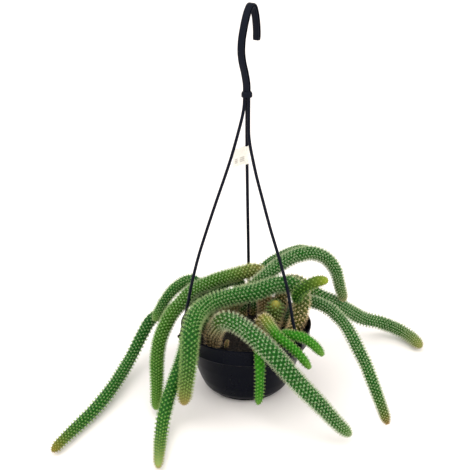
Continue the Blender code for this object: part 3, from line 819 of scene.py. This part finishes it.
def tufts(spec, line, first, dryness, draw):
    """Felt pads and bristles: points, faces, tone and distance of each point, finish of each face."""
    place, normal, along, distance, outer = tuft_places(spec, line, first)
    side = np.cross(normal, along)
    size = np.clip(outer / TUFT_RADIUS, *TUFT_SIZES)[:, None]
    growth = spec["fuzz"] + DRY_GROWTH * dryness(distance)
    pads, pad_faces = felt_pads(place, normal, along, side, size)
    spikes, spike_faces, spike_tones = bristle_spikes(place, normal, along, side, size, growth, draw)
    pad_tones = np.repeat(draw.uniform(*PAD_BRIGHTNESS, len(place)), PAD_SIDES + 1)
    points = np.concatenate([pads, spikes])
    faces = np.concatenate([pad_faces, spike_faces + len(pads)])
    tone = np.concatenate([pad_tones, spike_tones])
    far = np.concatenate([np.repeat(distance, PAD_SIDES + 1),
                          np.repeat(distance, SPINES * len(SPINE_SHADED_TONES))])
    finish = np.repeat([0, 1], [len(pad_faces), len(spike_faces)])
    return points, faces, tone, far, finish


def rooted(spec):
    """A stem's route from its place in the soil."""
    x, y = spec["root"]
    return [(x, y, STEM_ROOT), (x, y, STEM_ROOT + ROOT_STRAIGHT)] + spec["route"]


def add_stem(name, own, route, start, seed, finishes, *nodes):
    """A stem whose tufts begin at a distance: its skin, which stands for its nodes, and bristles."""
    spec = {**USUAL, **own}
    line = Line(route, ROUTE_STEP)

    def dryness(far):
        return np.exp(-((far - start) / spec["dry"]).clip(0) ** 3)

    def tip_share(far):
        return np.exp(-(line.length - far) / spec["glow"])

    points, faces, relief, far = stem_skin(spec, line)
    finish = skin_material(name + "_skin", spec["green"], spec["tip"], spec["dry_skin"])
    skin = mesh_object(name + "_skin", points, faces, [finish])
    add_values(skin, "relief", relief)
    add_values(skin, "dry", dryness(far))
    add_values(skin, "tip", tip_share(far))
    stands_for(skin, *nodes)

    draw = np.random.default_rng(seed)
    points, faces, tone, far, face_finish = tufts(spec, line, start - TUFT_MARGIN, dryness, draw)
    bristles = mesh_object(name + "_bristles", points, faces.tolist(), finishes, face_finish)
    dry = dryness(far)
    # A stem's range of dried tones; a low range is partly painted shade
    low, high = spec["worn_and_shaded"]
    tone *= spec["dim"]
    add_values(bristles, "tone", tone + dry * (low + (high - low) * tone - tone))
    add_values(bristles, "dry", dry)
    add_values(bristles, "young", along_stem(spec["young"], far, line.length))
    add_values(bristles, "tip", spec["warm_tip"] * tip_share(far))
    stands_for(bristles)


def add_plant():
    finishes = [bristle_material("felt", FELT_COLOURS, 0.9),
                bristle_material("bristle", BRISTLE_COLOURS, 0.55)]
    for seed, (name, spec) in enumerate(STEMS.items()):
        add_stem(name, spec, rooted(spec), ROOT_STRAIGHT, seed, finishes, name)
    add_stem("offshoot", OFFSHOOT, OFFSHOOT["route"], 0.0, len(STEMS), finishes)


# Pot

def pot_outline():
    """The wall's outline: under the base, up outside, over the rim and down inside."""
    lip = WALL / 2
    rim = arc((RIM_RADIUS - lip, POT_HEIGHT - lip), lip + RIM_BEAD, *RIM_TURN, 12)
    outside = rounded([(0, 0)] + POT_OUTSIDE + [RIM_FOOT_OUTSIDE], OUTSIDE_ROUNDING, 4)
    floor = (0, POT_INSIDE[0][1])
    inside = rounded([RIM_FOOT_INSIDE] + POT_INSIDE[::-1] + [floor], INSIDE_ROUNDING, 3)
    return outside + rim + inside


def pot_ears():
    """The lugs outside the rim, with round corners and eased edges."""
    ears = bmesh.new()
    size = Matrix.Diagonal((EAR_TO - EAR_FROM, EAR_WIDTH, EAR_THICKNESS, 1.0))
    place = Matrix.Translation(((EAR_TO + EAR_FROM) / 2, 0, EAR_TOP - EAR_THICKNESS / 2))
    for angle in EAR_ANGLES.values():
        block = bmesh.ops.create_cube(ears, size=1.0)["verts"]
        turn = Matrix.Rotation(math.radians(angle), 4, "Z")
        bmesh.ops.transform(ears, matrix=turn @ place @ size, verts=block)
    upright = [e for e in ears.edges if abs(e.verts[0].co.z - e.verts[1].co.z) > EAR_THICKNESS / 2
               and min(v.co.xy.length for v in e.verts) > EAR_CIRCLE]
    bmesh.ops.bevel(ears, geom=upright, offset=EAR_CORNER, segments=8, affect="EDGES",
                    clamp_overlap=True)
    sharp = [e for e in ears.edges if e.calc_face_angle(0) > EAR_SHARP]
    bmesh.ops.bevel(ears, geom=sharp, offset=EAR_EASING, segments=2, affect="EDGES",
                    clamp_overlap=True)
    return bmesh_object("ears", ears)


def pot_holes():
    """What is cut from the lugs for the strands and from the base for the water."""
    holes = bmesh.new()
    for angle in EAR_ANGLES.values():
        x, y = around(angle, EAR_CIRCLE)
        low = EAR_TOP - 2 * EAR_THICKNESS
        add_cylinder(holes, EAR_HOLE_RADIUS, (x, y, low), 4 * EAR_THICKNESS, HOLE_SEGMENTS)
    low, high = DRAIN_CUT
    for i in range(DRAIN_HOLES):
        x, y = around(DRAIN_START + 360 / DRAIN_HOLES * i, DRAIN_HOLE_CIRCLE)
        add_cylinder(holes, DRAIN_HOLE_RADIUS, (x, y, low), high - low, HOLE_SEGMENTS)
    return bmesh_object("holes", holes)


def add_pot(finish):
    pot = link("pot_shell", turned("pot_shell", pot_outline(), POT_SEGMENTS))
    combine(pot, pot_ears(), "UNION")
    combine(pot, pot_holes(), "DIFFERENCE")
    dress(pot, finish, POT_CRISP)
    stands_for(pot, "pot")


# Potting mix

def inside_radius(height):
    """The pot's inner radius at a height."""
    for (r0, z0), (r1, z1) in zip(POT_INSIDE, POT_INSIDE[1:]):
        if z0 <= height <= z1:
            return r0 + (r1 - r0) * (height - z0) / (z1 - z0)
    return RIM_RADIUS - WALL


def add_soil_bed(finish, edge, draw):
    """An uneven surface of waves of a few sizes and fine grain, and plain sides below it."""
    radii = edge * np.linspace(0, 1, SOIL_RINGS + 1)[1:]
    angles = math.tau * np.arange(SOIL_SEGMENTS) / SOIL_SEGMENTS
    r, a = np.meshgrid(radii, angles, indexing="ij")
    x, y = r * np.cos(a), r * np.sin(a)
    height = np.full_like(x, SOIL_LEVEL)
    for size, amount in SOIL_WAVES:
        for _ in range(WAVES_OF_A_SIZE):
            turn, phase = draw.uniform(0, math.tau, 2)
            wave = (x * math.cos(turn) + y * math.sin(turn)) * math.tau / size
            height += amount * 0.5 * np.sin(wave + phase)
    height += draw.uniform(-SOIL_GRAIN, SOIL_GRAIN, height.shape)
    points = [(0.0, 0.0, SOIL_LEVEL)] + np.stack([x, y, height], axis=-1).reshape(-1, 3).tolist()
    for z in SOIL_SIDE_HEIGHTS:
        radius = inside_radius(z) - SOIL_WALL_GAP
        points += [(*around(math.degrees(angle), radius), z + SOIL_SIDE_LIFT) for angle in angles]
    points.append((0.0, 0.0, SOIL_BOTTOM))
    last = len(points) - 1
    faces = [(0, 1 + j, 1 + (j + 1) % SOIL_SEGMENTS) for j in range(SOIL_SEGMENTS)]
    for k in range(SOIL_RINGS - 1 + len(SOIL_SIDE_HEIGHTS)):
        ring = 1 + k * SOIL_SEGMENTS
        for j in range(SOIL_SEGMENTS):
            beside = (j + 1) % SOIL_SEGMENTS
            faces.append((ring + j, ring + SOIL_SEGMENTS + j,
                          ring + SOIL_SEGMENTS + beside, ring + beside))
    ring = last - SOIL_SEGMENTS
    faces += [(ring + j, last, ring + (j + 1) % SOIL_SEGMENTS) for j in range(SOIL_SEGMENTS)]
    soil = mesh_object("soil_bed", points, faces, [finish])
    stands_for(soil, "soil")


def add_crumbs(finish, edge, draw):
    """Lumps of bark strewn over the surface."""
    bm = bmesh.new()
    for _ in range(CRUMBS):
        angle = draw.uniform(0, 360)
        x, y = around(angle, edge * math.sqrt(draw.uniform(0, 1)))
        size = draw.uniform(*CRUMB_SIZES)
        length = size * draw.uniform(*CRUMB_STRETCH)
        stretch = Matrix.Diagonal((length, size, size * draw.uniform(*CRUMB_FLATNESS), 1.0))
        spin = Matrix.Rotation(draw.uniform(0, math.tau), 4, "Z")
        tilt = Matrix.Rotation(draw.normal(0, CRUMB_TILT), 4, "X")
        place = Matrix.Translation((x, y, SOIL_LEVEL + draw.uniform(*CRUMB_LIFT)))
        ball = bmesh.ops.create_icosphere(bm, subdivisions=1, radius=1.0)["verts"]
        for vertex in ball:
            vertex.co *= draw.uniform(*CRUMB_LUMPS)
        bmesh.ops.transform(bm, matrix=place @ (spin @ tilt) @ stretch, verts=ball)
    crumbs = bmesh_object("soil_crumbs", bm)
    crumbs.data.materials.append(finish)
    stands_for(crumbs)


def add_soil(mix, bark):
    draw = np.random.default_rng(SOIL_SEED)
    edge = inside_radius(SOIL_LEVEL) - SOIL_EDGE_GAP
    add_soil_bed(mix, edge, draw)
    add_crumbs(bark, edge - CRUMB_EDGE_GAP, draw)


# Hanger

def strand_middle(side, height):
    """Where a strand is at a height: its radius from the axis, along a smooth curve."""
    lug = [(EAR_CIRCLE, EAR_TOP + SEATING_GAP), (EAR_CIRCLE, STRAND_FOOT)]
    route = [(radius, 0.0, z) for radius, z in STRAND_ROUTES[side] + lug]
    curve = smooth_route(route, STRAND_STEP)[::-1]
    x, y = around(EAR_ANGLES[side], np.interp(height, curve[:, 2], curve[:, 0]))
    return Vector((x, y, height))


def strand_outline():
    """A strand from its top: the rod, its sleeve on the lug, and the knob under the lug."""
    sleeve = EAR_TOP + SEATING_GAP
    top = sleeve + SLEEVE_LENGTH
    knob = EAR_TOP - EAR_THICKNESS - SEATING_GAP
    end = knob - KNOB_LENGTH
    rod = [(STRAND_RADIUS, height) for height in np.linspace(STRAND_TOP, top + 4.0, STRAND_RINGS)]
    return rod + [
        (STRAND_RADIUS, top + 1.6), (STRAND_RADIUS + 0.2, top + 0.6), (SLEEVE_RADIUS - 0.25, top),
        (SLEEVE_RADIUS, top - 0.4), (SLEEVE_RADIUS, sleeve + 0.3), (SLEEVE_RADIUS - 0.3, sleeve),
        (STRAND_RADIUS, sleeve), (STRAND_RADIUS, knob), (KNOB_RADIUS - 0.4, knob),
        (KNOB_RADIUS, knob - 0.4), (KNOB_RADIUS, end + 0.9), (0.6 * KNOB_RADIUS, end)]


def add_strand(side, finish):
    rings = []
    for radius, height in strand_outline():
        middle = strand_middle(side, height)
        corners = [around(-360 / STRAND_SIDES * j, radius) for j in range(STRAND_SIDES)]
        rings.append([middle + Vector((x, y, 0)) for x, y in corners])
    points, faces = sweep(rings)
    strand = mesh_object("strand_" + side + "_rod", points, faces, [finish])
    strand.data.set_sharp_from_angle(angle=math.radians(ROD_CRISP))
    stands_for(strand, "strand_" + side)


def hook_section():
    """The moulded section: two flanges on a narrower web, with eased corners."""
    half = HOOK_WIDTH / 2
    depth = HOOK_DEPTH / 2
    inner = depth - HOOK_FLANGE
    web = HOOK_WEB / 2
    quarter = [
        (web, inner * 0.4), (web + 0.25, inner - 0.1), (half - 0.35, inner),
        (half - 0.08, inner + 0.15), (half, inner + 0.4), (half, depth - 0.75),
        (half - 0.2, depth - 0.25), (half - 0.7, depth), (half * 0.5, depth + 0.05)]
    upper = quarter + [(-a, b) for a, b in reversed(quarter)]
    return upper + [(-a, -b) for a, b in upper]


def add_hook(finish):
    """The shank: its section carried along its route, a little narrower at the very end."""
    line = smooth_route([(s, 0.0, z) for s, z in HOOK_ROUTE], HOOK_STEP)
    turn = Matrix.Rotation(math.radians(HOOK_TURN), 3, "Z")
    sideways = Vector((0, 1, 0))
    last = len(line) - 1
    rings = []
    for i, point in enumerate(line):
        along = Vector(line[min(i + 1, last)] - line[max(i - 1, 0)]).normalized()
        outward = sideways.cross(along)
        narrow = 1.0 - HOOK_END_NARROWING * max(0.0, 1.0 - (last - i) / HOOK_END_RINGS)
        rings.append([turn @ (Vector(point) + narrow * (a * sideways + b * outward))
                      for a, b in hook_section()])
    points, faces = sweep(rings)
    hook = mesh_object("hook_shank", points, faces, [finish])
    hook.data.set_sharp_from_angle(angle=math.radians(ROD_CRISP))
    stands_for(hook, "hanger_hook")


def add_collar(finish):
    """The round collar under the shank, with a socket for each strand."""
    outline = [(0, COLLAR_BOTTOM), (COLLAR_RADIUS, COLLAR_BOTTOM),
               (COLLAR_RADIUS, COLLAR_TOP - COLLAR_SLOPE), (COLLAR_NECK_RADIUS, COLLAR_TOP),
               (0, COLLAR_TOP)]
    mesh = turned("hook_collar", rounded(outline, COLLAR_ROUNDING, 4), COLLAR_SEGMENTS)
    collar = link("hook_collar", mesh)
    sockets = bmesh.new()
    depth = STRAND_TOP + SEATING_GAP - COLLAR_BOTTOM + SOCKET_CUT
    for angle in EAR_ANGLES.values():
        x, y = around(angle, STRAND_CIRCLE)
        low = COLLAR_BOTTOM - SOCKET_CUT
        add_cylinder(sockets, SOCKET_RADIUS, (x, y, low), depth, SOCKET_SEGMENTS)
    combine(collar, bmesh_object("sockets", sockets), "DIFFERENCE")
    dress(collar, finish, COLLAR_CRISP)
    stands_for(collar)


# Tag

def tag_loop():
    """The folded label seen from above: in along one face, round the strand and back out."""
    straight = np.linspace(TAG_END, TAG_FOLD, TAG_COLUMNS)
    loop = [(-x, -TAG_HALF_GAP) for x in straight]
    loop += [(-1.9, -0.7), (-1.3, -1.35)]
    loop += arc((0, 0), TAG_SLEEVE_RADIUS, -125, 125, 20)
    loop += [(-1.3, 1.35), (-1.9, 0.7)]
    return loop + [(-x, TAG_HALF_GAP) for x in np.linspace(TAG_FOLD, TAG_END, TAG_COLUMNS)]


def bar_tone(across, height):
    """1 on a printed bar, a paler tone between the bars of a field, and 0 off the fields."""
    for left, right, low, high in BAR_FIELDS:
        if left < across < right and low < height < high:
            return 1.0 if int((height + BAR_START) / BAR_PITCH) % 2 == 0 else BETWEEN_BARS
    return 0.0


def add_tag(finish):
    """A label folded round the back strand, with plain bars on its front face."""
    ends = [strand_middle("back", TAG_MIDDLE + step) for step in (-TAG_HEIGHT / 2, TAG_HEIGHT / 2)]
    middle = ends[0].lerp(ends[1], 0.5)
    lean = (ends[1] - ends[0]).normalized()
    turn = Vector((0, 0, 1)).rotation_difference(lean).to_matrix().to_4x4()
    droop = Matrix.Identity(4)
    droop[2][0] = TAG_DROOP
    place = Matrix.Translation(middle) @ turn @ droop
    loop = tag_loop()
    points, bars = [], []
    for z in np.linspace(-TAG_HEIGHT / 2, TAG_HEIGHT / 2, TAG_ROWS):
        for x, y in loop:
            curl = TAG_CURL * math.sin(x * TAG_CURL_TURN) * (z / TAG_HEIGHT)
            points.append(place @ Vector((x, y + curl, z)))
            bars.append(bar_tone(-x, z) if y < 0 else 0.0)
    count = len(loop)
    faces = [(k * count + j, k * count + j + 1, (k + 1) * count + j + 1, (k + 1) * count + j)
             for k in range(TAG_ROWS - 1) for j in range(count - 1)]
    tag = mesh_object("tag_paper", points, faces, [finish])
    add_values(tag, "bars", bars)
    skin = tag.modifiers.new("thickness", "SOLIDIFY")
    skin.thickness = TAG_PAPER * MM
    skin.offset = 0.0
    stands_for(tag, "tag")


def add_pot_and_hanger():
    add_pot(plastic_material("black_plastic", POT_BLACK, 0.28))
    add_soil(soil_material("potting_mix", 0.45), soil_material("bark", 1.2))
    hanger = plastic_material("hanger_black", HANGER_BLACK, 0.3)
    for side in EAR_ANGLES:
        add_strand(side, hanger)
    add_hook(hanger)
    add_collar(hanger)
    add_tag(paper_material("label_paper"))


# Studio

def add_light(name, place, size, power, colour):
    light = bpy.data.lights.new(name, "AREA")
    light.shape = "SQUARE"
    light.size = size
    light.energy = power
    light.color = colour
    obj = bpy.data.objects.new(name, light)
    obj.location = place
    obj.rotation_euler = (Vector(LIT_PLACE) - Vector(place)).to_track_quat("-Z", "Y").to_euler()
    bpy.context.collection.objects.link(obj)


def add_floor():
    mesh = bpy.data.meshes.new("floor")
    corners = [(FLOOR_REACH * x, FLOOR_REACH * y, 0) for x, y in ((-1, -1), (1, -1), (1, 1), (-1, 1))]
    mesh.from_pydata(corners, [], [(0, 1, 2, 3)])
    floor = link("floor", mesh, 1.0)
    mesh.materials.append(floor_material("floor"))


def add_camera():
    camera = bpy.data.cameras.new("camera")
    camera.sensor_width = CAMERA_SENSOR
    camera.lens = CAMERA_LENS
    camera.clip_start = CAMERA_NEAREST
    obj = bpy.data.objects.new("camera", camera)
    obj.location = Vector(CAMERA_PLACE) * MM
    obj.rotation_euler = (math.radians(CAMERA_TILT), 0, 0)
    bpy.context.collection.objects.link(obj)
    bpy.context.scene.camera = obj


def add_studio():
    add_floor()
    world = bpy.data.worlds.new("studio")
    world.use_nodes = True
    background = world.node_tree.nodes["Background"]
    background.inputs["Color"].default_value = (*SKY_COLOUR, 1.0)
    background.inputs["Strength"].default_value = SKY_STRENGTH
    bpy.context.scene.world = world
    add_light("key", **KEY_LIGHT)
    add_light("fill", **FILL_LIGHT)
    add_camera()
    bpy.context.scene.view_settings.view_transform = "Standard"


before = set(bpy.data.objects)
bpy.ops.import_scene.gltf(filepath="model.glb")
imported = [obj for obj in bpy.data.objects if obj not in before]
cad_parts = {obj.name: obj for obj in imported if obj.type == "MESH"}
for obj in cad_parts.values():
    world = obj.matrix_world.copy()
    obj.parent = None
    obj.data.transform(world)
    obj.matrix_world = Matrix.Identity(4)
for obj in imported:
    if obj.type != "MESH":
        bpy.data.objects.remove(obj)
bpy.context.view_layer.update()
add_studio()
add_plant()
add_pot_and_hanger()
